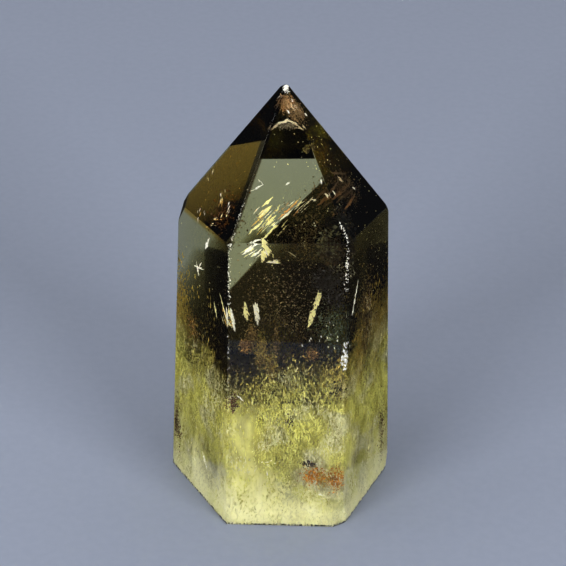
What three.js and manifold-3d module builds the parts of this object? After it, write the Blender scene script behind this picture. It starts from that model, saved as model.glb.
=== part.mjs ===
// A cut and polished citrine point, standing on its own flat base.
// One piece of quartz: a six-sided column that narrows slightly upward, closed by six
// sloping faces that meet at the tip, with the small extra facets left by hand polishing.
// Millimetres, +Z up along the length, base on Z = 0, centred on its footprint.
// The widest-looking column face, "front", looks along -Y.

import * as THREE from 'three';
import { mergeVertices } from 'three/addons/utils/BufferGeometryUtils.js';
import Module from 'manifold-3d';

// ---------------------------------------------------------------- driving dimensions

// Overall length of the point before the tip is dulled.
const LENGTH = 80;

// Where the six sloping faces meet, off the column's axis because the point is cut by hand.
const TIP_X = 0.3;
const TIP_Y = -1.4;

// The column faces: which way each looks (degrees from +X toward +Y), how far it stands
// from the axis at the base, and how far it leans inward toward the tip (below zero it
// leans outward). Quartz grows these faces 60 degrees apart; hand polishing moves them
// by a few degrees.
const COLUMN_FACES = [
  { name: 'front', azimuth: -91.4, distance: 18.4, lean: 2.1 },
  { name: 'front right', azimuth: -25.3, distance: 18.1, lean: 1.1 },
  { name: 'back right', azimuth: 29.4, distance: 17.3, lean: 2.2 },
  { name: 'back', azimuth: 87.5, distance: 14.3, lean: -1.0 },
  { name: 'back left', azimuth: 151.5, distance: 17.5, lean: 2.1 },
  { name: 'front left', azimuth: 210.1, distance: 17.4, lean: 1.6 },
];

// The sloping faces at the top: which way each looks, how steeply it stands, measured from
// the level base, and how far past the tip it lies (millimetres). Four meet at the tip; the
// back right and back left ones lie a little past it, so they end just below the tip.
const TOP_FACES = [
  { name: 'front', azimuth: -92.3, slope: 55.9, past: 0 },
  { name: 'front right', azimuth: -21.5, slope: 54.4, past: 0 },
  { name: 'back right', azimuth: 31.8, slope: 57.7, past: 0.2 },
  { name: 'back', azimuth: 89.2, slope: 55.7, past: 0 },
  { name: 'back left', azimuth: 149.5, slope: 57.0, past: 0.45 },
  { name: 'front left', azimuth: 207.8, slope: 56.1, past: 0 },
];

// Small extra facets that cut off a corner or an edge: which way each looks, how steeply
// it stands (90 is upright, more than 90 looks downward), and one point it passes through.
const SMALL_FACETS = [
  { name: 'left shoulder', azimuth: 181, slope: 72, through: [-16.85, -0.5, 56.6] },
  { name: 'right shoulder', azimuth: 2, slope: 70, through: [18.0, -1.2, 56.2] },
  { name: 'front left shoulder', azimuth: -121, slope: 68, through: [-8.75, -15.75, 57.4] },
  { name: 'foot of the front right edge', azimuth: -59, slope: 98, through: [10.6, -17.75, 0] },
  { name: 'foot of the right edge', azimuth: 2, slope: 97, through: [19.45, -0.2, 0] },
];

// Width of the level flat left where the tip is worn, and of the bevel around the base.
const TIP_FLAT_DROP = 0.25;
const BASE_BEVEL = 0.3;
const BASE_BEVEL_SLOPE = 135;

// Blocks used as knives are this big, and the rough block is this wide.
const KNIFE = 400;
const ROUGH_WIDTH = 60;

// ---------------------------------------------------------------- joining and cutting

const wasm = await Module();
wasm.setup();

// A closed three.js geometry as a solid: only its corners matter, and each is kept once.
function toSolid(geometry) {
  const bare = geometry.clone();
  bare.deleteAttribute('normal');
  bare.deleteAttribute('uv');
  const merged = mergeVertices(bare);
  const mesh = new wasm.Mesh({
    numProp: 3,
    vertProperties: new Float32Array(merged.getAttribute('position').array),
    triVerts: new Uint32Array(merged.index.array),
  });
  return new wasm.Manifold(mesh);
}

// A solid back as a flat-shaded three.js geometry.
function toGeometry(solid) {
  const mesh = solid.getMesh();
  const corners = new Float32Array(mesh.vertProperties);
  const geometry = new THREE.BufferGeometry();
  geometry.setAttribute('position', new THREE.BufferAttribute(corners, 3));
  geometry.setIndex(new THREE.BufferAttribute(new Uint32Array(mesh.triVerts), 1));
  const flat = geometry.toNonIndexed();
  flat.computeVertexNormals();
  return flat;
}

// The direction a face looks, from its azimuth and its slope above the level base.
function facing(azimuth, slope) {
  const turn = THREE.MathUtils.degToRad(azimuth);
  const rise = THREE.MathUtils.degToRad(slope);
  const across = Math.sin(rise);
  return new THREE.Vector3(across * Math.cos(turn), across * Math.sin(turn), Math.cos(rise));
}

// Grinds one flat face: everything beyond the plane through `point` is taken away.
function grind(solid, direction, point) {
  const knife = new THREE.BoxGeometry(KNIFE, KNIFE, KNIFE);
  const turn = new THREE.Quaternion();
  turn.setFromUnitVectors(new THREE.Vector3(0, 0, 1), direction);
  knife.applyQuaternion(turn);
  const centre = point.clone().addScaledVector(direction, KNIFE / 2);
  knife.translate(centre.x, centre.y, centre.z);
  return solid.subtract(toSolid(knife));
}

// ---------------------------------------------------------------- the crystal

// The rough block, standing on the base plane.
const rough = new THREE.BoxGeometry(ROUGH_WIDTH, ROUGH_WIDTH, LENGTH);
rough.translate(0, 0, LENGTH / 2);
let crystal = toSolid(rough);

// The column: each face leans inward, so its direction tips a little above level.
for (const face of COLUMN_FACES) {
  const direction = facing(face.azimuth, 90 - face.lean);
  const outward = facing(face.azimuth, 90);
  crystal = grind(crystal, direction, outward.multiplyScalar(face.distance));
}

// The top: six faces through the tip or a little past it.
const tip = new THREE.Vector3(TIP_X, TIP_Y, LENGTH);
for (const face of TOP_FACES) {
  const direction = facing(face.azimuth, face.slope);
  crystal = grind(crystal, direction, tip.clone().addScaledVector(direction, face.past));
}

// The small facets, then the worn tip.
for (const facet of SMALL_FACETS) {
  const place = new THREE.Vector3(...facet.through);
  crystal = grind(crystal, facing(facet.azimuth, facet.slope), place);
}
const wornTip = new THREE.Vector3(TIP_X, TIP_Y, LENGTH - TIP_FLAT_DROP);
crystal = grind(crystal, new THREE.Vector3(0, 0, 1), wornTip);

// The narrow bevel that runs round the foot of every column face.
for (const face of COLUMN_FACES) {
  const outward = facing(face.azimuth, 90);
  const place = outward.multiplyScalar(face.distance - BASE_BEVEL);
  crystal = grind(crystal, facing(face.azimuth, BASE_BEVEL_SLOPE), place);
}

// Centred on its footprint.
const geometry = toGeometry(crystal);
geometry.computeBoundingBox();
const middle = geometry.boundingBox.getCenter(new THREE.Vector3());
geometry.translate(-middle.x, -middle.y, 0);

const citrine = new THREE.MeshStandardMaterial({
  color: '#b9b377',
  roughness: 0.06,
  metalness: 0,
});
const point = new THREE.Mesh(geometry, citrine);
point.name = 'crystal_point';

const group = new THREE.Group();
group.name = 'citrine_point';
group.add(point);

export default group;
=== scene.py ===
# %% [markdown]
# # A citrine crystal point
# The object is one piece of quartz, ground into a six-sided point and polished on every face.
# Its looks come from what light does inside it, so this scene builds four kinds of thing:
# the clear body, the coloured growth zones in the body, the milky cloud in its lower half,
# and the small things sealed in it (flakes, needles, rust stains, dark specks).

# %% Setup
import math

import bmesh
import bpy
import numpy as np
from mathutils import Matrix, Vector


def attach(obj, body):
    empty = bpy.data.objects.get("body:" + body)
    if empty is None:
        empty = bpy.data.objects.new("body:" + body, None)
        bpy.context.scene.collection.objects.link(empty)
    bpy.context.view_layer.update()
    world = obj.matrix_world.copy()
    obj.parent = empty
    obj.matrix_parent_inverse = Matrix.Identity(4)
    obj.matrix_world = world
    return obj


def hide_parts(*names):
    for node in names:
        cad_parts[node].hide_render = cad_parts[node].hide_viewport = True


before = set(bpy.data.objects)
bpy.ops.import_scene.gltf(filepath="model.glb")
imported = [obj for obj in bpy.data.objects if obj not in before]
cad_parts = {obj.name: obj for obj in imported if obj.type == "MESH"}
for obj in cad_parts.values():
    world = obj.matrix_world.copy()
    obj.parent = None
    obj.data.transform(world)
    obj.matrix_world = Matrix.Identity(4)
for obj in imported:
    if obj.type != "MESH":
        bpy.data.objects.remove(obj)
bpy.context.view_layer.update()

MM = 0.001
rng = np.random.default_rng(20)
scene = bpy.context.scene

# %% [markdown]
# ## Small helpers
# Colours are written as they are picked on a screen (sRGB hex) and turned into the linear
# values a shader works with. One function adds a shader node, sets its inputs and links it,
# which keeps each material down to a list of what it is made of.


# %% Colour, object and node helpers
def colour(hex_code):
    """A linear colour with alpha from an sRGB hex code such as '#c8b45a'."""
    parts = [int(hex_code[i:i + 2], 16) / 255 for i in (1, 3, 5)]
    linear = [p / 12.92 if p <= 0.04045 else ((p + 0.055) / 1.055) ** 2.4 for p in parts]
    return (*linear, 1.0)


def add_node(tree, kind, settings=None, **inputs):
    """Adds one shader node. An input is either a value or another node's output socket."""
    made = tree.nodes.new(kind)
    for key, value in (settings or {}).items():
        setattr(made, key, value)
    for key, value in inputs.items():
        socket = made.inputs[key.replace("_", " ")]
        if isinstance(value, bpy.types.NodeSocket):
            tree.links.new(value, socket)
        else:
            socket.default_value = value
    return made


def new_material(name):
    """An empty node material with its Principled shader and its output."""
    material = bpy.data.materials.new(name)
    material.use_nodes = True
    nodes = material.node_tree.nodes
    return material, material.node_tree, nodes["Principled BSDF"], nodes["Material Output"]


def mottle(tree, scale, low, high, detail=3.0, stretch=(1.0, 1.0, 1.0)):
    """A noise pattern between two colours, in metres so that it has a real size."""
    place = add_node(tree, "ShaderNodeTexCoord")
    squeeze = add_node(tree, "ShaderNodeMapping", Vector=place.outputs["Object"], Scale=stretch)
    noise = add_node(tree, "ShaderNodeTexNoise", Vector=squeeze.outputs[0], Scale=scale,
                     Detail=detail)
    ramp = add_node(tree, "ShaderNodeValToRGB", Fac=noise.outputs["Fac"])
    ramp.color_ramp.elements[0].position = 0.35
    ramp.color_ramp.elements[0].color = low
    ramp.color_ramp.elements[1].position = 0.65
    ramp.color_ramp.elements[1].color = high
    return ramp.outputs["Color"]


def add_piece(name, source, material, replaces=None):
    """A finished piece at the origin, from a bmesh or a mesh, that rides the part's root."""
    if isinstance(source, bmesh.types.BMesh):
        bmesh.ops.recalc_face_normals(source, faces=source.faces)
        mesh = bpy.data.meshes.new(name)
        source.to_mesh(mesh)
        source.free()
    else:
        mesh = source
    piece = bpy.data.objects.new(name, mesh)
    scene.collection.objects.link(piece)
    piece.data.materials.append(material)
    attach(piece, "root")
    if replaces:
        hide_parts(replaces)
    print(f"{name}: {len(mesh.polygons)} faces")
    return piece


# %% [markdown]
# ## The clear body
# The body is a copy of the CAD solid. Its triangles are joined back into whole flat faces,
# then every edge is rounded by a few hundredths of a millimetre: hand polishing never leaves
# a perfect edge, and that thin rounding is what catches the light along the crystal's edges.
# The faces could also be cut again from a block, but a copy keeps the exact planes, and the
# way light bends in the point depends on them.

# %% The body's flat faces
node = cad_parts["crystal_point"]
body = bmesh.new()
body.from_mesh(node.data)
bmesh.ops.remove_doubles(body, verts=body.verts, dist=0.001 * MM)
bmesh.ops.dissolve_limit(body, angle_limit=math.radians(0.3), verts=body.verts, edges=body.edges)
bmesh.ops.remove_doubles(body, verts=body.verts, dist=0.05 * MM)
bmesh.ops.recalc_face_normals(body, faces=body.faces)

# Only faces larger than this shape the zones and the cloud; all faces bound the flakes.
BIG_FACE = 3 * MM * MM
walls = [(f.calc_center_median(), f.normal.copy()) for f in body.faces if f.calc_area() > BIG_FACE]
wall_normals = np.array([tuple(normal) for centre, normal in walls])
wall_offsets = np.array([centre.dot(normal) for centre, normal in walls])
face_normals = np.array([tuple(face.normal) for face in body.faces])
face_offsets = np.array([face.calc_center_median().dot(face.normal) for face in body.faces])
print("flat faces:", len(body.faces), "of which large:", len(walls))


def wall_facing(azimuth, slope):
    """The large face that looks most nearly this way (degrees from +X, and from level)."""
    turn, rise = math.radians(azimuth), math.radians(slope)
    way = Vector((math.sin(rise) * math.cos(turn), math.sin(rise) * math.sin(turn), math.cos(rise)))
    return max(walls, key=lambda wall: wall[1].dot(way))


def depth_inside(points):
    """How far each point lies below the nearest large face, in metres (below 0 is outside)."""
    return (wall_offsets[None, :] - points @ wall_normals.T).min(axis=1)


# %% [markdown]
# ## Quartz as a see-through material
# Quartz bends light with an index of 1.544. A citrine's colour is not on its surface: the
# light loses blue on its way through, so the tint is an absorption inside the body, and a
# thick part is deeper in colour than a thin one. A coloured surface would look the same
# everywhere. A trace of roughness and a barely uneven tint stand for the hand polish.

# %% Clear citrine
QUARTZ_IOR = 1.544


def see_through(name, ior, absorb_colour, density, haze=0.0):
    """A clear material that only takes light away on the way through."""
    material, tree, shader, output = new_material(name)
    shader.inputs["Transmission Weight"].default_value = 1.0
    shader.inputs["IOR"].default_value = ior
    shader.inputs["Roughness"].default_value = haze
    tint = mottle(tree, 120.0, (0.985, 0.985, 0.975, 1.0), (1.0, 1.0, 1.0, 1.0))
    tree.links.new(tint, shader.inputs["Base Color"])
    inside = add_node(tree, "ShaderNodeVolumeAbsorption", Color=absorb_colour, Density=density)
    tree.links.new(inside.outputs[0], output.inputs["Volume"])
    return material


citrine = see_through("clear citrine", QUARTZ_IOR, (0.82, 0.80, 0.28, 1.0), 44.0, haze=0.004)

polished = body.copy()
bmesh.ops.bevel(polished, geom=polished.edges[:], offset=0.07 * MM, offset_type="OFFSET",
                segments=2, profile=0.5, affect="EDGES", material=-1, clamp_overlap=True)
add_piece("crystal_body", polished, citrine, replaces="crystal_point")

# %% [markdown]
# ## Growth zones
# A crystal takes up colour unevenly while it grows, face by face, so the colour changes
# across flat boundaries that run parallel to a face. Here the right and lower part is smoky
# brown and stops at such a plane, and a golden layer lies under the left sloping face.
# Each zone is a block cut down by the body's own faces (a little further in) and then by its
# growth plane. A colour ramp inside one volume could do the same in a render, but a closed
# block with a constant absorption is plain geometry that other programs can read too. Its
# surface has an index of 1, so only the change of colour can be seen.


# %% Cutting blocks
def cut(block, point, direction):
    """Takes away everything beyond a plane and closes the block again."""
    parts = block.verts[:] + block.edges[:] + block.faces[:]
    result = bmesh.ops.bisect_plane(block, geom=parts, dist=1e-7, plane_co=point,
                                    plane_no=direction, clear_outer=True)
    rim = [part for part in result["geom_cut"] if isinstance(part, bmesh.types.BMEdge)]
    if rim:
        bmesh.ops.edgenet_fill(block, edges=rim)


def block_inside(inset):
    """A block with the body's shape, smaller by the inset on every side."""
    block = bmesh.new()
    bmesh.ops.create_cube(block, size=200 * MM)
    for centre, normal in walls:
        cut(block, centre - normal * inset, normal)
    return block


# %% The smoky zone
# The growth surface twists a few degrees on its way down. It is made of four flat strips
# that all hold the same sloping line. Each strip has its left and right side in millimetres
# and how far it falls toward the back per millimetre.
SMOKY_BOTTOM = 25 * MM
LINE_POINT = Vector((-4.0, -2.6, 50.2)) * MM
LINE_SIDE_SHIFT = -0.54
LINE_RISE = 1.5
STRIPS = ((-40.0, -4.2, -0.40), (-4.2, -3.2, -0.47), (-3.2, -2.4, -0.55), (-2.4, 40.0, -0.63))
SEAM = 0.003 * MM

smoky = see_through("smoky quartz", 1.0, (0.42, 0.36, 0.12, 1.0), 150.0)
for number, (left, right, fall) in enumerate(STRIPS):
    zone = block_inside(0.5 * MM)
    across_rise = LINE_RISE - fall * LINE_SIDE_SHIFT
    cut(zone, LINE_POINT, Vector((-across_rise, -fall, 1.0)).normalized())
    cut(zone, Vector((0, 0, SMOKY_BOTTOM)), Vector((0, 0, -1)))
    cut(zone, Vector((left * MM + SEAM, 0, 0)), Vector((-1, 0, 0)))
    cut(zone, Vector((right * MM - SEAM, 0, 0)), Vector((1, 0, 0)))
    add_piece(f"smoky_zone_{number}", zone, smoky)

# %% [markdown]
# ## The golden layer and the dark layer
# Under the left sloping face lies a thin golden film that ends in a browner strip along the
# front ridge. Behind the right side, a smoky layer darkens what is seen through it. Both
# follow a face of the body, so they are cut with that same face moved inward. The thinner a
# film is, the more strongly it has to absorb to show at all.

# %% The golden layer under the left sloping face
GOLDEN_DEPTH = 1.05 * MM
STRIP_WIDTH = 1.3 * MM
left_top = wall_facing(-152, 56)
front_top = wall_facing(-92, 56)
tip = max((vert.co for vert in body.verts), key=lambda place: place.z).copy()
ridge = left_top[1].cross(front_top[1])
beside_ridge = ridge.cross(Vector((0, 0, 1))).normalized()
if beside_ridge.x < 0:
    beside_ridge.negate()
golden = see_through("golden citrine", 1.0, (0.99, 0.76, 0.10, 1.0), 2600.0)
brown = see_through("brown citrine", 1.0, (0.35, 0.25, 0.10, 1.0), 2600.0)
for name, side, material in (("golden_layer", 1, golden), ("brown_strip", -1, brown)):
    layer = block_inside(0.45 * MM)
    cut(layer, left_top[0] - left_top[1] * GOLDEN_DEPTH, -left_top[1])
    cut(layer, tip - beside_ridge * STRIP_WIDTH, beside_ridge * side)
    if side < 0:
        cut(layer, tip - beside_ridge * 0.1 * MM, beside_ridge)
    add_piece(name, layer, material)

# %% The dark layer under the back right face
BACK_DEPTH = 9.0 * MM
back_right = wall_facing(29, 88)
layer = block_inside(0.5 * MM)
cut(layer, back_right[0] - back_right[1] * BACK_DEPTH, -back_right[1])
cut(layer, Vector((0, 0, 43)) * MM, Vector((0, 0, 1)))
cut(layer, Vector((0, 0, 22)) * MM, Vector((0, 0, -1)))
add_piece("back_layer", layer, smoky)

# %% [markdown]
# ## Stamping many small flakes
# Everything sealed in the quartz is made of thousands of tiny flat flakes and blades. One
# small template is built with an operator and then stamped many times: every copy gets its
# own place, direction, size and tint, and all copies are joined into one mesh. Instances or
# particles would be lighter, but they are lost when the model is exported. Nothing sealed in
# quartz can stand out of it, so each copy is last moved inward until it lies under the faces.


# %% The stamp
def template_leaf():
    """A thin flat leaf, one unit wide and one unit tall."""
    leaf = bmesh.new()
    bmesh.ops.create_grid(leaf, x_segments=1, y_segments=1, size=0.5)
    bmesh.ops.rotate(leaf, verts=leaf.verts, matrix=Matrix.Rotation(math.pi / 4, 3, "Z"))
    return leaf


def template_splinter():
    """A small twenty-faced ball, one unit across, that the stamp stretches into a slim splinter."""
    splinter = bmesh.new()
    bmesh.ops.create_icosphere(splinter, subdivisions=1, radius=0.5)
    return splinter


TUCK_GAP = 0.03 * MM
TUCK_ROUNDS = 12


def tuck_inside(copies):
    """Moves each small copy straight inward until all its corners lie under every face."""
    for _ in range(TUCK_ROUNDS):
        over = (copies @ face_normals.T - face_offsets).max(axis=1) + TUCK_GAP
        worst = over.argmax(axis=1)
        amount = np.clip(over.max(axis=1), 0, None)
        copies = copies - face_normals[worst][:, None, :] * amount[:, None, None]
    return copies


def stamp(name, template, centres, axes, sizes, tints, material):
    """Joins one copy of the template per centre. axes[i] holds the copy's three directions
    as rows, sizes[i] its width, depth and height, and tints[i] its colour."""
    corners = np.array([tuple(v.co) for v in template.verts])
    faces = [[v.index for v in f.verts] for f in template.faces]
    template.free()
    count = len(centres)
    local = corners[None, :, :] * sizes[:, None, :]
    placed = tuck_inside(np.einsum("nvk,nkj->nvj", local, axes) + centres[:, None, :])
    side = len(faces[0])
    loops = np.array(faces).reshape(1, -1) + np.arange(count)[:, None] * len(corners)
    total = count * len(faces)
    mesh = bpy.data.meshes.new(name)
    mesh.vertices.add(count * len(corners))
    mesh.vertices.foreach_set("co", placed.reshape(-1))
    mesh.loops.add(total * side)
    mesh.loops.foreach_set("vertex_index", loops.reshape(-1).astype(np.int32))
    mesh.polygons.add(total)
    mesh.polygons.foreach_set("loop_start", (np.arange(total) * side).astype(np.int32))
    mesh.update()
    layer = mesh.color_attributes.new("tint", "FLOAT_COLOR", "POINT")
    each = np.repeat(np.c_[tints, np.ones(count)], len(corners), axis=0)
    layer.data.foreach_set("color", each.reshape(-1).astype(np.float32))
    return add_piece(name, mesh, material)


def directions(count, main, spread):
    """Unit vectors scattered around a main direction."""
    lines = np.asarray(main, float)[None, :] + rng.normal(0, spread, (count, 3))
    return lines / np.linalg.norm(lines, axis=1)[:, None]


def frames_along(lines):
    """Three square directions per line; the third is the line, the first two are turned
    around it by chance."""
    helper = rng.normal(0, 1, lines.shape)
    first = np.cross(lines, helper)
    first /= np.linalg.norm(first, axis=1)[:, None]
    second = np.cross(lines, first)
    return np.stack([first, second, lines], axis=1)


# %% [markdown]
# ## Materials for what is sealed inside
# The flakes are pale and dull, because each is a film of tiny cavities that scatters light.
# Every material takes the flake's own tint and breaks it up with a fine noise. The tint is
# stored on the mesh as a colour attribute, so that one material serves thousands of flakes.


# %% Flake materials
def tinted(name, roughness, darkest, glint=0.0):
    """A solid material in the tint stored on each flake, mottled by a fine noise. A glint is a
    painted glint: a glow in the flake's tint, for films that flash as they mirror the lamps."""
    material, tree, shader, output = new_material(name)
    tint = add_node(tree, "ShaderNodeVertexColor", {"layer_name": "tint"})
    shade = (darkest, darkest, darkest, 1.0)
    patches = mottle(tree, 900.0, shade, (1.0, 1.0, 1.0, 1.0))
    mixed = add_node(tree, "ShaderNodeMix", {"data_type": "RGBA", "blend_type": "MULTIPLY"})
    mixed.inputs[0].default_value = 1.0
    tree.links.new(tint.outputs["Color"], mixed.inputs[6])
    tree.links.new(patches, mixed.inputs[7])
    tree.links.new(mixed.outputs[2], shader.inputs["Base Color"])
    shader.inputs["Roughness"].default_value = roughness
    if glint:
        tree.links.new(mixed.outputs[2], shader.inputs["Emission Color"])
        shader.inputs["Emission Strength"].default_value = glint
    return material


milky_quartz = tinted("milky quartz", 0.7, 0.93)
# The crack film glows: its emission is a painted glint on the strokes, dashes, specks and chips.
glowing_crack_film = tinted("crack film with painted glint", 0.35, 0.85, glint=0.45)
iron_oxide = tinted("iron oxide stain", 0.75, 0.6)
dark_mineral = tinted("dark mineral grains", 0.5, 0.5)

# %% [markdown]
# ## The milky cloud
# The lower half is full of a cloud that is densest near the base and rises in uneven upright
# columns, higher on the left. Deep inside it is too thick to see into, so its heart is one
# closed, lumpy body. Around the heart float many thousands of small upright flakes: cream
# at the foot, yellow-green above, with darker gaps between the columns. A scattering volume
# would be closer to nature, but it is slow, noisy and lost on export, and it cannot show the
# grain that real milky quartz has up close.


# %% Smooth random patterns
# Each wave starts anywhere in about one full turn.
WAVE_SHIFT = 6.28


def ripple(points, size, seed):
    """A smooth pattern between -1 and 1 from a few waves in chance directions."""
    waves = np.random.default_rng(seed)
    total = np.zeros(len(points))
    for _ in range(9):
        direction = waves.normal(0, 1, 3) / np.asarray(size)
        total += np.sin(points @ direction * 2.2 / MM + waves.uniform(0, WAVE_SHIFT))
    return np.clip(total / 3.6, -1, 1)


# %% The heart of the cloud
HEART_FOOT = 0.35 * MM
HEART_TOP = 25.0 * MM


def reach(angles, heights):
    """How far the body's large faces are from the axis, at each angle and height."""
    out = np.full(len(angles), 1.0)
    for (nx, ny, nz), offset in zip(wall_normals, wall_offsets):
        toward = nx * np.cos(angles) + ny * np.sin(angles)
        far = (offset - nz * heights) / np.where(toward > 0.05, toward, 1.0)
        out = np.where(toward > 0.05, np.minimum(out, far), out)
    return out


heart = bmesh.new()
bmesh.ops.create_uvsphere(heart, u_segments=128, v_segments=72, radius=1.0)
ball = np.array([tuple(v.co) for v in heart.verts])
angle = np.arctan2(ball[:, 1], ball[:, 0])
rise = np.arccos(np.clip(-ball[:, 2], -1, 1)) / math.pi
up = np.clip((rise - 0.15) / 0.60, 0, 1)
spread = np.where(rise < 0.15, rise / 0.15, np.where(rise > 0.75, (1 - rise) / 0.25, 1.0))
height = HEART_FOOT + up * (HEART_TOP - HEART_FOOT)
around = np.c_[np.cos(angle) * 15 * MM, np.sin(angle) * 15 * MM, height]
lumps = ripple(around, (2.5, 2.5, 9.0), 12) + 0.6 * ripple(around, (5.0, 5.0, 6.0), 14)
inset = (0.50 + 3.6 * up ** 2.0) * MM + lumps * (0.10 + 1.3 * up) * MM
radius = spread * (reach(angle, height) - np.maximum(inset, 0.35 * MM))
height += np.where(rise > 0.75, (1 - spread) * 2.0 * MM + lumps * 1.2 * MM, 0.0)
for vert, x, y, z in zip(heart.verts, radius * np.cos(angle), radius * np.sin(angle), height):
    vert.co = (x, y, z)

milk_heart, tree, shader, output = new_material("dense milky quartz")
fine = mottle(tree, 600.0, colour("#827c34"), colour("#ecea94"), 5.0, stretch=(1.0, 1.0, 0.35))
broad = mottle(tree, 120.0, colour("#b8b258"), colour("#eae8b8"), stretch=(1.0, 1.0, 0.5))
blend = add_node(tree, "ShaderNodeMix", {"data_type": "RGBA", "blend_type": "MIX"})
blend.inputs[0].default_value = 0.5
tree.links.new(fine, blend.inputs[6])
tree.links.new(broad, blend.inputs[7])
place = add_node(tree, "ShaderNodeTexCoord")
heights = add_node(tree, "ShaderNodeSeparateXYZ", Vector=place.outputs["Object"])
near_foot = add_node(tree, "ShaderNodeMapRange", Value=heights.outputs["Z"], From_Min=0.014,
                     From_Max=0.003)
whiter = add_node(tree, "ShaderNodeMix", {"data_type": "RGBA", "blend_type": "MIX"})
tree.links.new(near_foot.outputs[0], whiter.inputs[0])
tree.links.new(blend.outputs[2], whiter.inputs[6])
whiter.inputs[7].default_value = colour("#f0eec4")
tree.links.new(whiter.outputs[2], shader.inputs["Base Color"])
shader.inputs["Roughness"].default_value = 0.8
add_piece("cloud_heart", heart, milk_heart)

# %% The cloud's density and colour
# Clear pockets in the cloud: centre and half-width in millimetres.
POCKETS = (
    ((-5.0, -11.0, 31.0), (2.6, 5.0, 4.5)),
    ((9.6, -14.0, 28.5), (2.0, 3.0, 2.8)),
    ((9.0, -14.0, 34.5), (2.2, 3.0, 2.2)),
    ((-18.3, 1.0, 10.0), (1.4, 3.0, 5.0)),
    ((18.0, -0.5, 10.0), (1.6, 2.6, 9.0)),
    ((7.2, -16.6, 11.0), (3.4, 0.8, 2.2)),
)


def cloud_density(points):
    """How thick the cloud is at each point, from 0 to 1."""
    x, height = points[:, 0] / MM, points[:, 2] / MM
    columns = ripple(points, (2.0, 2.0, 30.0), 3)
    patches = ripple(points, (6.0, 6.0, 9.0), 5)
    top = 29.0 + np.where(x < -8, (-8 - x) * 1.0, (x + 8) * 0.42) + 3.0 * columns + 2.5 * patches
    fade = np.clip((top - height) / 12.0, 0, 1)
    foot = 0.45 + 0.75 * np.exp(-height / 6.0)
    gaps = np.clip(1.0 + 0.45 * patches + 0.35 * columns, 0.15, 1.6)
    thin_top = np.clip((46 - height) / 14, 0, 1) * np.clip(np.abs(x) / 5 - 2.0, 0, 1)
    dense = fade ** 1.5 * foot * gaps + 0.10 * thin_top * np.clip(columns + 0.4, 0, 1)
    for centre, half in POCKETS:
        off = (points / MM - np.array(centre)) / np.array(half)
        dense *= 1 - 0.85 * np.exp(-(off ** 2).sum(axis=1) * 1.4)
    return np.clip(dense, 0, 1)


def cloud_tint(points):
    """The cloud's colour: cream at the foot, yellow-green in the middle, olive on top, with
    whitish patches and dark olive streaks."""
    height = points[:, 2] / MM
    patches = ripple(points, (4.0, 4.0, 8.0), 8)
    foot = np.clip((8.0 - height + 3.0 * patches) / 7.0, 0, 1)[:, None]
    top = np.clip((height - 25.0 + 3.0 * patches) / 12.0, 0, 1)[:, None]
    cream, green, olive, milk = (np.array([colour(c)[:3]]) for c in
                                 ("#fdfcd8", "#fbf99e", "#c4ac50", "#fdfbd4"))
    mixed = green * (1 - top) + olive * top
    mixed = mixed * (1 - foot) + cream * foot
    milky = np.clip(ripple(points, (3.0, 3.0, 3.4), 31) * 1.8, 0, 1)[:, None] * (1 - top)
    mixed = mixed * (1 - milky) + milk * milky
    mixed = mixed * (1 - 0.28 * np.exp(-((height - 9) / 6.0) ** 2))[:, None]
    streaks = ripple(points, (0.9, 0.9, 3.0), 21) + ripple(points, (2.0, 2.0, 4.0), 22)
    shade = 0.62 * np.clip(streaks, 0, 1)[:, None] * (1 - 0.6 * foot)
    return mixed * (1 - shade) + mixed * np.array([[0.46, 0.42, 0.18]]) * shade


# %% Stamping the cloud
# Three meshes share the work, so that none gets too heavy: long soft streaks first, then two
# rounds of fine flakes.
FLAKES = 95000
low = np.array([-20.0, -18.0, 0.15]) * MM
high = np.array([20.0, 18.0, 47.0]) * MM


def stamp_cloud(name, widest, longest, lean):
    """One mesh of upright flakes, thickest near the surface, where they can be seen."""
    tries = rng.uniform(low, high, (1900000, 3))
    deep = depth_inside(tries)
    keep = (deep > 0.15 * MM) & (rng.random(len(tries)) < cloud_density(tries))
    keep &= rng.random(len(tries)) < np.exp(-np.clip(deep / MM - 1.5, 0, None) / 3.5) + 0.04
    centres = tries[keep][:FLAKES]
    count = len(centres)
    print(name, "flakes:", count, "from", int(keep.sum()))
    axes = frames_along(directions(count, (0, 0, 1), lean))
    flat_axes = np.stack([axes[:, 0], axes[:, 2], axes[:, 1]], axis=1)
    widths = rng.uniform(0.35, 1.0, count) * widest
    lengths = rng.uniform(0.3, 1.0, count) * longest
    leaf_sizes = np.c_[widths, lengths, np.ones(count)] * MM
    tints = cloud_tint(centres) * rng.uniform(0.9, 1.0, (count, 1))
    stamp(name, template_leaf(), centres, flat_axes, leaf_sizes, tints, milky_quartz)


stamp_cloud("cloud_streaks", 0.26, 1.0, 0.22)
stamp_cloud("cloud_flakes_a", 0.26, 0.60, 0.35)
stamp_cloud("cloud_flakes_b", 0.26, 0.60, 0.35)

# %% [markdown]
# ## Streaks, needles and sparkles
# Healed cracks and tiny fluid films flash white or golden where they face the light. Here the
# flash is a painted glint: the strokes are pale and glow a little. Most of them lie along the
# same sloping growth line and show as parallel strokes; others stand upright as short needles.
# Each stroke is a row of overlapping splinters, so that its outline is ragged. One smooth blade
# per stroke would be simpler, and would look like confetti.

# %% Strokes
WHITE, CREAM, GOLD = "#fffef6", "#fdf8c4", "#edc870"
ORANGE, RUST, BROWN, BLACK = "#e8ae68", "#7e5c3c", "#54402a", "#0c0a08"

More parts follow.
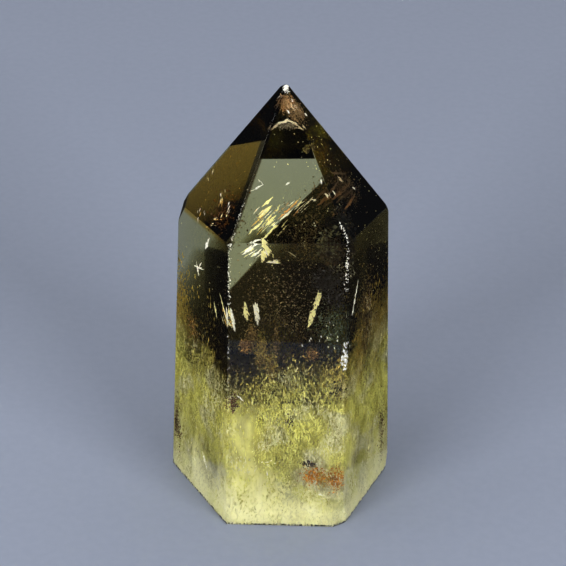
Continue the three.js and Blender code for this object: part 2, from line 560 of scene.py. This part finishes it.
# Each stroke: start and end in millimetres, its width in millimetres, and its colour.
STROKES = (
    # parallel strokes in the clear window, just above the smoky zone
    ((-1.7, -6.2, 61.6), (-3.2, -6.6, 60.2), 0.40, CREAM),
    ((-2.0, -6.3, 59.9), (-3.6, -7.0, 58.4), 0.55, CREAM),
    ((-1.2, -7.2, 58.6), (-2.6, -7.8, 57.3), 0.45, CREAM),
    ((-3.2, -9.2, 58.9), (-5.4, -10.2, 57.1), 0.40, CREAM),
    ((-2.8, -8.4, 60.4), (-3.4, -8.6, 59.8), 0.60, CREAM),
    ((-0.4, -6.9, 60.6), (-0.9, -7.1, 59.6), 0.30, CREAM),
    ((-1.0, -8.6, 57.6), (-2.2, -9.2, 56.4), 0.35, CREAM),
    # orange and white strokes beside the smoky zone's edge
    ((-0.6, -7.4, 58.2), (1.4, -6.4, 59.8), 0.30, ORANGE),
    ((-0.2, -7.3, 58.0), (1.6, -6.4, 59.4), 0.28, WHITE),
    ((1.4, -6.4, 60.0), (3.1, -5.6, 61.3), 0.18, GOLD),
    ((0.6, -7.1, 58.6), (1.4, -6.7, 59.3), 0.40, WHITE),
    ((2.5, -6.3, 60.0), (3.2, -5.9, 60.7), 0.30, CREAM),
    ((-1.6, -9.2, 57.2), (-3.3, -10.2, 55.7), 0.35, CREAM),
    # a small ridge near the front ridge of the point
    ((-5.4, -8.2, 64.0), (-3.2, -7.5, 65.0), 0.22, WHITE),
    ((-3.2, -7.5, 65.0), (-4.0, -7.1, 65.7), 0.18, WHITE),
    ((0.7, -6.7, 64.6), (1.0, -6.6, 64.8), 0.35, WHITE),
    # bright arches below the window
    ((-6.4, -11.9, 54.8), (-4.4, -11.8, 56.6), 0.50, WHITE),
    ((-4.4, -11.8, 56.6), (-3.6, -11.9, 56.9), 0.40, WHITE),
    ((-3.1, -11.9, 56.9), (-2.0, -12.0, 55.4), 0.65, CREAM),
    ((-3.2, -12.0, 55.4), (-3.2, -12.0, 53.6), 0.60, CREAM),
    ((-4.6, -12.0, 55.0), (-5.0, -12.0, 54.4), 0.35, CREAM),
    ((1.0, -12.3, 55.6), (2.4, -12.4, 54.6), 0.25, "#8f8a74"),
    # star-like flash and streaks behind the front left face
    ((-14.2, -3.0, 46.5), (-12.5, -5.5, 47.3), 0.38, WHITE),
    ((-13.8, -3.7, 47.4), (-13.4, -4.2, 45.2), 0.40, WHITE),
    ((-13.5, -4.1, 46.6), (-12.9, -5.0, 48.3), 0.28, WHITE),
    ((-11.6, -7.5, 54.6), (-12.3, -6.6, 52.2), 0.50, WHITE),
    # upright needles in the dark middle
    ((6.5, -12.5, 47.9), (5.7, -12.7, 44.7), 0.80, CREAM),
    ((5.6, -12.6, 44.5), (4.8, -12.7, 41.3), 0.78, CREAM),
    ((11.9, -9.9, 47.9), (11.2, -12.4, 42.6), 0.40, WHITE),
    ((14.0, -6.8, 42.8), (14.2, -6.3, 39.8), 0.22, CREAM),
    ((14.8, -6.0, 42.0), (14.9, -5.8, 40.4), 0.18, CREAM),
    ((-6.1, -12.3, 45.2), (-5.8, -12.4, 42.2), 0.62, CREAM),
    ((-4.3, -12.3, 45.0), (-4.0, -12.4, 41.6), 0.82, WHITE),
    ((-10.6, -9.2, 43.0), (-10.1, -10.2, 40.5), 0.36, CREAM),
    ((-9.5, -11.1, 45.6), (-8.3, -13.0, 42.0), 0.40, CREAM),
    ((-9.0, -11.9, 43.6), (-8.2, -13.1, 42.0), 0.26, ORANGE),
    ((-8.5, -13.2, 44.4), (-7.9, -13.3, 40.2), 0.46, WHITE),
    # brown streaks that carry the same slope into the right sloping face
    ((6.2, -6.2, 60.4), (10.0, -1.6, 61.4), 0.60, RUST),
    ((7.0, -6.6, 60.2), (10.6, -2.2, 60.6), 0.40, BROWN),
    ((8.4, -7.4, 58.6), (11.0, -3.0, 60.0), 0.50, RUST),
    ((5.6, -6.6, 61.6), (8.2, -4.0, 63.2), 0.40, BROWN),
    ((7.0, -4.2, 65.0), (9.6, -1.6, 63.4), 0.40, BROWN),
    # a pale bow below the tip
    ((-1.9, -2.7, 72.8), (-0.6, -2.4, 73.9), 0.40, "#bdb294"),
    ((-0.8, -2.4, 73.8), (0.8, -2.1, 74.2), 0.50, "#ddd3b4"),
    ((0.6, -2.1, 74.2), (2.0, -2.4, 73.9), 0.45, "#cfc4a2"),
    ((1.8, -2.4, 73.9), (3.2, -2.8, 73.0), 0.40, "#b5a682"),
    # flashes on the dark right side
    ((5.0, -7.5, 62.0), (5.6, -7.4, 61.9), 0.30, WHITE),
    ((7.3, -7.0, 62.8), (7.5, -7.1, 62.5), 0.42, WHITE),
    ((5.4, -9.7, 58.8), (5.5, -9.7, 58.4), 0.35, WHITE),
    ((6.4, -8.4, 66.4), (6.5, -8.4, 65.8), 0.35, WHITE),
    ((11.1, -2.9, 61.6), (11.4, -2.8, 61.4), 0.35, WHITE),
    ((8.7, -4.2, 64.1), (9.1, -4.2, 63.5), 0.55, "#c9b9a0"),
    # flashes near the tip
    ((0.7, -1.6, 75.9), (0.9, -1.6, 75.5), 0.35, WHITE),
    ((1.2, -1.1, 76.9), (1.6, -1.2, 76.0), 0.22, "#e8cfa0"),
    ((-0.6, -0.2, 77.5), (-0.2, 0.0, 77.7), 0.26, WHITE),
    ((3.2, -0.5, 74.7), (3.5, -0.5, 74.3), 0.35, WHITE),
    # cracks around the rust stain near the foot
    ((3.6, -15.6, 12.4), (4.9, -15.8, 8.4), 0.20, WHITE),
    ((6.2, -15.9, 7.3), (9.0, -16.0, 6.5), 0.45, WHITE),
    ((9.0, -16.0, 6.6), (11.2, -16.0, 5.9), 0.24, CREAM),
    ((10.0, -15.9, 8.4), (10.5, -15.9, 7.9), 0.55, CREAM),
    ((7.6, -15.6, 12.0), (8.2, -15.7, 9.4), 0.28, WHITE),
    ((9.2, -15.8, 6.0), (9.8, -15.9, 3.4), 0.22, CREAM),
    ((-4.9, -15.4, 13.0), (-3.6, -15.4, 12.6), 0.45, WHITE),
    ((-2.3, -15.5, 11.6), (-2.1, -15.5, 10.4), 0.30, WHITE),
    ((-7.4, -14.8, 27.3), (-6.4, -14.8, 26.3), 0.30, WHITE),
    ((-13.5, -7.8, 9.8), (-12.7, -9.2, 7.4), 0.55, WHITE),
    ((15.6, -5.4, 11.4), (15.0, -6.9, 6.6), 0.50, CREAM),
    ((15.9, -5.6, 1.8), (15.5, -6.2, 0.9), 0.40, CREAM),
)


def bundle(centre, half, way, count, longest, widest, tints):
    """Parallel strokes scattered around a centre."""
    strokes = []
    for _ in range(count):
        start = np.array(centre) + rng.normal(0, 0.5, 3) * np.array(half)
        line = np.array(way) + rng.normal(0, 0.08, 3)
        line *= rng.uniform(0.25, 1.0) * longest / np.linalg.norm(line)
        width = rng.uniform(0.4, 1.0) * widest
        strokes.append((start, start + line, width, tints[rng.integers(len(tints))]))
    return strokes


# Each bundle: centre, half-width, direction, how many, longest, widest, colours.
BUNDLES = (
    ((-2.4, -7.6, 59.3), (1.8, 0.8, 1.8), (-1.0, -0.4, -1.05), 22, 2.4, 0.19, (CREAM, WHITE, GOLD)),
    ((-1.0, -8.2, 58.2), (2.4, 0.5, 1.6), (-0.9, -0.5, -0.75), 14, 2.4, 0.22, (CREAM, WHITE)),
    ((1.6, -6.6, 59.8), (2.6, 0.5, 1.5), (0.8, 0.4, 0.62), 16, 2.8, 0.20, (WHITE, ORANGE, "#c98d52")),
    ((-4.0, -12.0, 55.6), (1.6, 0.4, 0.9), (-1.0, 0.0, -0.9), 12, 1.8, 0.36, (WHITE, CREAM)),
    ((-2.6, -12.0, 55.6), (0.9, 0.3, 1.1), (0.3, 0.0, -1.0), 12, 1.6, 0.44, (WHITE, CREAM)),
    ((-1.9, -12.2, 53.4), (1.3, 0.3, 0.4), (1.0, 0.0, 0.1), 9, 1.4, 0.30, (WHITE, CREAM)),
    ((14.2, -6.6, 41.0), (1.6, 1.6, 5.0), (0.1, 0.1, -1.0), 16, 2.6, 0.18, (CREAM, GOLD, "#b9a070")),
    ((8.6, -14.2, 39.0), (3.6, 0.5, 5.0), (0.3, 0.0, -1.0), 16, 0.4, 0.24, (WHITE, "#f2f4d8")),
    ((-9.0, -12.0, 42.6), (1.0, 1.2, 1.8), (0.4, -0.5, -1.0), 8, 2.2, 0.24, (CREAM, GOLD)),
    ((0.4, 0.1, 79.25), (0.34, 0.3, 0.24), (0.3, 0.0, 1.0), 16, 0.35, 0.34, (WHITE, WHITE)),
    ((1.2, -1.2, 76.6), (0.9, 0.5, 1.6), (0.35, -0.1, -1.0), 7, 1.8, 0.16, ("#f0d8b0", WHITE)),
    ((7.6, -16.2, 9.6), (3.4, 0.2, 3.4), (0.9, 0.0, -0.7), 20, 1.8, 0.18, (WHITE, CREAM)),
    ((-3.0, -15.2, 13.2), (2.6, 0.3, 0.8), (1.0, 0.0, 0.3), 14, 0.6, 0.26, (WHITE, CREAM)),
    ((14.0, -9.2, 10.0), (1.8, 2.2, 6.0), (0.1, 0.0, -1.0), 20, 1.6, 0.20, (WHITE, CREAM)),
    ((-15.6, -5.2, 12.0), (1.8, 2.6, 8.0), (0.1, 0.0, -1.0), 20, 1.4, 0.20, (WHITE, CREAM)),
)


def ragged(strokes, step=0.16, jitter=0.22):
    """Rows of overlapping splinters along each stroke, tapering toward both ends."""
    centres, lines, sizes, tints = [], [], [], []
    for start, end, width, tint in strokes:
        start, end = np.array(start), np.array(end)
        length = np.linalg.norm(end - start)
        for _ in range(max(6, int(length / step * (0.8 + width * 3)))):
            along = rng.random()
            taper = 0.35 + 0.65 * math.sin(math.pi * along)
            off = rng.normal(0, jitter * width, 3) * taper
            centres.append(start + (end - start) * along + off)
            lines.append((end - start) / length + rng.normal(0, 0.18, 3))
            thick = width * taper * rng.uniform(0.4, 0.9)
            sizes.append((thick, thick * 0.6, width * rng.uniform(0.9, 2.0) + 0.15))
            tints.append(np.array(colour(tint)[:3]) * rng.uniform(0.8, 1.0))
    lines = np.array(lines)
    lines /= np.linalg.norm(lines, axis=1)[:, None]
    return np.array(centres) * MM, frames_along(lines), np.array(sizes) * MM, np.array(tints)


scattered = [stroke for one in BUNDLES for stroke in bundle(*one)]
# The strokes glow a little: their emission is a painted glint for the flash of the films.
stamp("bright_strokes", template_splinter(), *ragged(list(STROKES) + scattered), glowing_crack_film)

# %% [markdown]
# ## Dashes in front of the golden layer
# Small pale dashes lie about a quarter of a millimetre under the left sloping face. At that
# depth the golden layer is behind them and does not colour them. Their rough places are
# moved straight onto one depth under the face, which is surer than placing each by hand.

# %% Dashes under the left sloping face
DASH_DEPTH = 0.24 * MM
DASHES = (
    ((-11.6, 0.0, 62.4), (0.8, 0.8, 1.4), (0.2, -0.6, -1.0), 4, 1.2, 0.26, (WHITE, CREAM)),
    ((-9.4, -6.0, 61.2), (1.2, 1.2, 2.0), (0.1, -0.6, -0.9), 9, 1.0, 0.24, (WHITE, CREAM, GOLD)),
    ((-8.4, -8.6, 60.8), (0.6, 1.0, 2.2), (-0.2, -0.4, -1.0), 9, 0.8, 0.26, (WHITE, CREAM)),
    ((-10.6, -8.0, 57.8), (1.2, 1.0, 1.4), (0.6, -0.6, 0.5), 9, 1.0, 0.20, (CREAM, GOLD)),
    ((-13.4, -4.4, 57.0), (1.6, 1.6, 1.2), (0.1, -0.4, -1.0), 6, 0.9, 0.24, (WHITE, GOLD)),
)


def under_face(point, wall, depth):
    """The point moved straight to one depth under a face."""
    height_above = Vector(point) * MM - wall[0]
    moved = Vector(point) * MM - wall[1] * (height_above.dot(wall[1]) + depth)
    return np.array(moved) / MM


dashes = [(under_face(start, left_top, DASH_DEPTH), under_face(end, left_top, DASH_DEPTH), *rest)
          for one in DASHES for start, end, *rest in bundle(*one)]
# The dashes share the films' painted glint and glow a little.
stamp("golden_dashes", template_splinter(), *ragged(dashes, jitter=0.12), glowing_crack_film)

# %% [markdown]
# ## Stains, specks and films
# Iron oxide stains the quartz orange and brown, and a few grains of a dark mineral sit near
# the right side. They are loose clouds of flakes around a centre: rust near the foot, brown
# films under the right sloping face, golden films in the tip. A stain painted on a face
# would stay on the surface, while these lie at a depth and shift as the point is turned.

# %% Loose clouds of flakes
# Each cloud: centre and half-width in millimetres, how many flakes, flake size, colours.
STAINS = (
    ((5.9, -16.35, 11.2), (1.9, 0.3, 2.0), 1000, 0.24, ("#f0b034", "#a86412")),
    ((10.0, -16.35, 10.4), (1.5, 0.3, 2.6), 800, 0.24, ("#f0b034", "#a86412")),
    ((7.9, -16.2, 10.4), (3.0, 0.3, 1.8), 700, 0.22, ("#e8c850", "#a8802c")),
    ((-6.1, -13.6, 37.2), (0.9, 0.4, 1.3), 420, 0.22, ("#c9a05e", "#7a5a34")),
    ((5.5, -13.8, 35.6), (1.1, 0.4, 1.0), 380, 0.22, ("#c9a05e", "#7a5a34")),
    ((-8.2, -14.6, 25.6), (0.9, 0.5, 1.8), 200, 0.28, ("#8a6030", BROWN)),
    ((-5.0, -13.4, 39.0), (0.8, 0.4, 2.6), 520, 0.24, ("#b89c60", "#6a5430")),
    ((-3.4, -13.6, 36.0), (0.9, 0.3, 3.0), 1200, 0.24, ("#d4bc64", "#746230")),
    ((-1.6, -13.8, 33.0), (0.9, 0.3, 2.8), 1200, 0.24, ("#d0ba5c", "#746230")),
    ((-0.8, -13.4, 37.6), (0.5, 0.4, 3.6), 500, 0.22, ("#a08a58", "#5a482c")),
    ((0.6, -12.8, 33.0), (0.6, 0.4, 2.6), 300, 0.22, ("#8a7448", "#4e3e26")),
    ((0.5, -13.0, 43.0), (9.0, 1.0, 12.0), 2600, 0.22, ("#8a7a58", "#4a3e2a")),
    ((4.5, -9.4, 57.0), (5.0, 1.0, 5.0), 1200, 0.22, ("#8a7a58", "#4a3e2a")),
    ((9.4, -3.6, 61.6), (3.6, 2.8, 3.0), 1300, 0.24, ("#6a5436", "#3a2f1c")),
    ((0.4, -0.6, 76.6), (1.0, 0.7, 1.5), 1300, 0.16, ("#f0c88c", "#a67c46")),
    ((2.2, -0.8, 75.4), (1.2, 0.7, 2.4), 1200, 0.16, ("#c09c68", "#5e4828")),
    ((0.6, -2.4, 73.4), (1.6, 0.4, 0.6), 500, 0.15, ("#b8ac8e", "#6a5a44")),
    ((4.0, -3.6, 69.6), (0.5, 0.5, 0.7), 90, 0.30, ("#8a7f3c", BROWN)),
    ((-9.6, -6.4, 60.0), (3.4, 2.6, 5.0), 900, 0.24, ("#6e5430", "#3a2a16")),
    ((-18.2, 1.0, 9.0), (0.7, 2.0, 5.0), 900, 0.26, ("#8a6a40", "#5a4428")),
    ((17.9, -0.6, 9.0), (0.8, 2.0, 8.0), 1200, 0.26, ("#8a6a40", "#5a4428")),
    ((-15.5, -4.0, 34.0), (1.6, 2.4, 3.0), 700, 0.26, ("#c9a252", "#8a6430")),
    ((14.6, -7.6, 38.0), (2.6, 3.0, 9.0), 5200, 0.24, ("#b8a05e", "#6a5834")),
)
GRAINS = (
    ((5.0, -16.2, 13.5), (1.3, 0.3, 0.6), 260, 0.28, ("#4e3c1e", "#2e2412")),
    ((1.7, -15.2, 22.0), (0.7, 0.3, 1.5), 160, 0.28, ("#6e5c30", "#3e3218")),
    ((7.6, -14.4, 50.6), (2.6, 0.4, 2.2), 700, 0.34, (BLACK, "#1c1814")),
    ((8.9, -9.0, 58.1), (1.6, 1.0, 2.4), 260, 0.60, (BLACK, BLACK)),
    ((8.4, -10.3, 54.4), (1.8, 1.0, 2.2), 320, 0.60, (BLACK, BROWN)),
    ((7.6, -12.4, 57.2), (2.2, 0.7, 3.0), 90, 0.45, ("#8c8a66", "#6c6a50")),
    ((9.6, -11.8, 51.6), (1.8, 0.7, 2.2), 70, 0.35, ("#a5a290", "#6c6a50")),
    ((8.6, -13.8, 41.0), (2.8, 0.6, 5.0), 900, 0.24, ("#7c8a6a", "#46523e")),
    ((9.0, -14.6, 47.6), (1.6, 0.4, 1.6), 300, 0.30, (BLACK, "#1c1814")),
    ((9.6, -14.2, 28.4), (1.3, 0.4, 2.4), 160, 0.30, ("#5e4c2c", "#2e2616")),
)


def loose(clouds):
    """Flakes scattered around each centre, thickest in the middle."""
    centres, sizes, tints = [], [], []
    for centre, half, number, size, (one, two) in clouds:
        centres.append(np.array(centre) + rng.normal(0, 0.5, (number, 3)) * np.array(half))
        across = rng.uniform(0.4, 1.2, (number, 1)) * size
        sizes.append(np.c_[across, across * rng.uniform(0.5, 1.6, (number, 1)), np.ones(number)])
        share = rng.random((number, 1))
        tints.append(np.array(colour(one)[:3]) * share + np.array(colour(two)[:3]) * (1 - share))
    centres, sizes, tints = (np.concatenate(group) for group in (centres, sizes, tints))
    keep = depth_inside(centres * MM) > 0.3 * MM
    axes = frames_along(directions(len(centres), (0.2, 0.8, 0.3), 0.8))
    return centres[keep] * MM, axes[keep], sizes[keep] * MM, tints[keep]


stamp("rust_stains", template_leaf(), *loose(STAINS), iron_oxide)
stamp("dark_grains", template_leaf(), *loose(GRAINS), dark_mineral)

# %% [markdown]
# ## Dust
# Clear quartz is seldom empty: a fine dust of bright specks floats in it, more on the right
# than on the left. Many random places are tried, and only those at a fitting depth are kept.

# %% Fine dust of bright specks in the clear and smoky quartz
SPECKS = 420
SPECK_LOW = low + np.array([0, 0, 27 * MM])
SPECK_HIGH = np.array([20, 6, 72]) * MM
tries = rng.uniform(SPECK_LOW, SPECK_HIGH, (SPECKS * 60, 3))
deep = depth_inside(tries)
right_side = tries[:, 0] > -6 * MM + (tries[:, 2] - 52 * MM) * 0.5
keep = (deep > 0.6 * MM) & (deep < 6 * MM) & (right_side | (rng.random(len(tries)) < 0.15))
specks = tries[keep][:SPECKS]
count = len(specks)
axes = frames_along(directions(count, (0, 0, 1), 0.8))
speck_sizes = rng.uniform(0.07, 0.20, (count, 1)) * np.array([[1.0, 0.6, 1.5]]) * MM
tints = np.array(colour(CREAM)[:3]) * rng.uniform(0.4, 1.0, (count, 1))
# The specks share the films' painted glint and glow a little.
stamp("bright_specks", template_splinter(), specks, axes, speck_sizes, tints, glowing_crack_film)

# %% [markdown]
# ## Worn edges
# Handling has nibbled the polished edges. The nicks are tiny frosted chips just under the
# surface, lined up along the front edges and the tip. Cutting each nick out of the body
# would break up its clean faces and everything seen through them.


# %% Frosted chips along the edges
def edge_point(wall_a, wall_b, height):
    """The point of the edge between two faces at one height."""
    rows = Matrix((wall_a[1], wall_b[1], Vector((0, 0, 1))))
    return rows.inverted() @ Vector((wall_a[0].dot(wall_a[1]), wall_b[0].dot(wall_b[1]), height))


front, front_left, front_right = wall_facing(-91, 88), wall_facing(-150, 88), wall_facing(-25, 88)
right_top = wall_facing(-21, 54)
# Each worn stretch: the two faces, lowest and highest point in millimetres, chips, chip size.
WORN = (
    (front, front_left, 46.0, 57.0, 90, 0.32),
    (front, front_left, 28.5, 46.0, 50, 0.26),
    (front, front_right, 33.4, 38.6, 130, 0.75),
    (front, front_right, 49.0, 57.5, 64, 0.46),
    (front_top, front_left, 56.5, 58.5, 36, 0.50),
    (front_top, right_top, 57.5, 61.0, 40, 0.42),
    (front_top, left_top, 57.0, 63.5, 36, 0.30),
    (front_top, left_top, 78.9, 79.6, 30, 0.34),
    (front_top, right_top, 78.9, 79.6, 40, 0.34),
)
chips, chip_sizes = [], []
for wall_a, wall_b, bottom, crown, number, size in WORN:
    inward = -(wall_a[1] + wall_b[1]).normalized()
    for height in rng.uniform(bottom, crown, number):
        place = edge_point(wall_a, wall_b, height * MM) + inward * rng.uniform(0.12, 0.45) * MM
        place += Vector(rng.normal(0, 0.45 * size, 3)) * MM
        chips.append(tuple(place))
        chip_sizes.append(np.array([0.6, 0.4, 1.0]) * size * rng.uniform(0.3, 1.0) * MM)
chips, chip_sizes = np.array(chips), np.array(chip_sizes)
keep = depth_inside(chips) > chip_sizes.max(axis=1) * 0.2
chips, chip_sizes = chips[keep], chip_sizes[keep]
tints = np.array(colour(WHITE)[:3]) * rng.uniform(0.6, 1.0, (len(chips), 1))
axes = frames_along(directions(len(chips), (0, 0, 1), 0.5))
# The chips are frosted white and also glow a little with the films' painted glint.
stamp("edge_chips", template_splinter(), chips, axes, chip_sizes, tints, glowing_crack_film)

# %% [markdown]
# ## Floor, light and camera
# The point stands on a plain floor under one large soft light from above and a smaller one
# from the left. Two panels in front light the cloud. Polished faces are mirrors, so what
# they mirror matters as much as what lights them: the front panels are left out of mirror
# images, and dark cards are put where only mirror images see them.

# %% Floor
FLOOR_HALF = 1.5
floor_block = bmesh.new()
bmesh.ops.create_grid(floor_block, x_segments=1, y_segments=1, size=FLOOR_HALF)
floor_mesh = bpy.data.meshes.new("floor")
floor_block.to_mesh(floor_mesh)
floor_block.free()
floor = bpy.data.objects.new("floor", floor_mesh)
scene.collection.objects.link(floor)
paper, tree, shader, output = new_material("matt paper")
tree.links.new(mottle(tree, 600.0, colour("#7c8290"), colour("#7e8492")), shader.inputs["Base Color"])
shader.inputs["Roughness"].default_value = 0.9
shader.inputs["Specular IOR Level"].default_value = 0.1
floor.data.materials.append(paper)


# %% Lights
def soft_light(name, place, aim, size, power, tint):
    """A square light panel that looks at a point."""
    lamp = bpy.data.lights.new(name, "AREA")
    lamp.shape = "SQUARE"
    lamp.size = size
    lamp.energy = power
    lamp.color = colour(tint)[:3]
    panel = bpy.data.objects.new(name, lamp)
    scene.collection.objects.link(panel)
    panel.location = place
    panel.rotation_euler = (Vector(aim) - Vector(place)).to_track_quat("-Z", "Y").to_euler()
    return panel


soft_light("overhead panel", (0.0, 0.15, 0.9), (0, 0, 0), 1.2, 8.6, "#ffffff")
soft_light("left panel", (-0.9, -0.1, 0.6), (0, 0, 0.03), 0.6, 2.0, "#ffffff")
# The two front panels light the cloud. No polished face mirrors them: a white square in a
# face would hide what lies behind it.
for name, side in (("front left panel", -1), ("front right panel", 1)):
    panel = soft_light(name, (side * 0.85, -1.0, 0.20), (0, 0, 0.03), 0.6, 45.0, "#ffffff")
    panel.visible_glossy = False

# Three dark cards lie beside and in front of the point. Only mirror images see them, so their
# colours are painted reflections: without them the steep faces would mirror the floor and hide
# what is inside.
CARD_HALF = 0.12
for name, place, low_hex, high_hex in (
        ("card left", (-0.143, 0.05, 0.001), "#1a1817", "#211e1b"),
        ("card right", (0.143, 0.05, 0.001), "#1a1817", "#211e1b"),
        ("card front", (0.0, -0.20, 0.002), "#5e5548", "#665c4e")):
    card_block = bmesh.new()
    bmesh.ops.create_grid(card_block, x_segments=1, y_segments=1, size=CARD_HALF)
    card_mesh = bpy.data.meshes.new(name)
    card_block.to_mesh(card_mesh)
    card_block.free()
    card = bpy.data.objects.new(name, card_mesh)
    scene.collection.objects.link(card)
    card.location = place
    card.visible_camera = False
    card.visible_diffuse = False
    card.visible_transmission = False
    card.visible_shadow = False
    reflection_card_paint, tree, shader, output = new_material(f"painted reflection {name}")
    tree.links.new(mottle(tree, 300.0, colour(low_hex), colour(high_hex)),
                   shader.inputs["Base Color"])
    shader.inputs["Roughness"].default_value = 0.9
    card.data.materials.append(reflection_card_paint)

world = bpy.data.worlds.new("dim room")
scene.world = world
world.use_nodes = True
background = world.node_tree.nodes["Background"]
background.inputs["Color"].default_value = (0.50, 0.52, 0.56, 1.0)
background.inputs["Strength"].default_value = 0.11

# %% [markdown]
# ## The camera
# It looks down at the point from in front with a long lens, which keeps the upright edges
# nearly parallel. It is turned by about half a degree, as a hand-held camera would be.

# %% Camera
LENS_LENGTH = 135.2
CAMERA_PLACE = Vector((0.24, -315.3, 240.6)) * MM
CAMERA_AIM = Vector((0.24, 1.47, 40.0)) * MM
CAMERA_ROLL = math.radians(0.585)
forward = (CAMERA_AIM - CAMERA_PLACE).normalized()
across = Vector((1, 0, 0))
upward = across.cross(forward)
right = across * math.cos(CAMERA_ROLL) + upward * math.sin(CAMERA_ROLL)
top = upward * math.cos(CAMERA_ROLL) - across * math.sin(CAMERA_ROLL)
lens = bpy.data.cameras.new("camera")
lens.sensor_fit = "HORIZONTAL"
lens.sensor_width = 36
lens.lens = LENS_LENGTH
lens.clip_start = 0.01
camera = bpy.data.objects.new("camera", lens)
scene.collection.objects.link(camera)
turned = Matrix((right, top, -forward)).transposed().to_4x4()
turned.translation = CAMERA_PLACE
camera.matrix_world = turned
scene.camera = camera

# %% [markdown]
# ## Settings for clear materials
# Light crosses many surfaces inside the point before it comes out, and each crossing counts
# as a bounce. With few bounces the inside would turn black.

# %% Render settings that clear materials need
scene.view_settings.view_transform = "Standard"
scene.view_settings.exposure = 0.1
scene.view_settings.gamma = 0.88
scene.cycles.max_bounces = 32
scene.cycles.transmission_bounces = 32
scene.cycles.glossy_bounces = 16
scene.cycles.diffuse_bounces = 20
scene.cycles.transparent_max_bounces = 64
scene.cycles.caustics_refractive = True
scene.cycles.caustics_reflective = True
scene.cycles.sample_clamp_indirect = 4.0
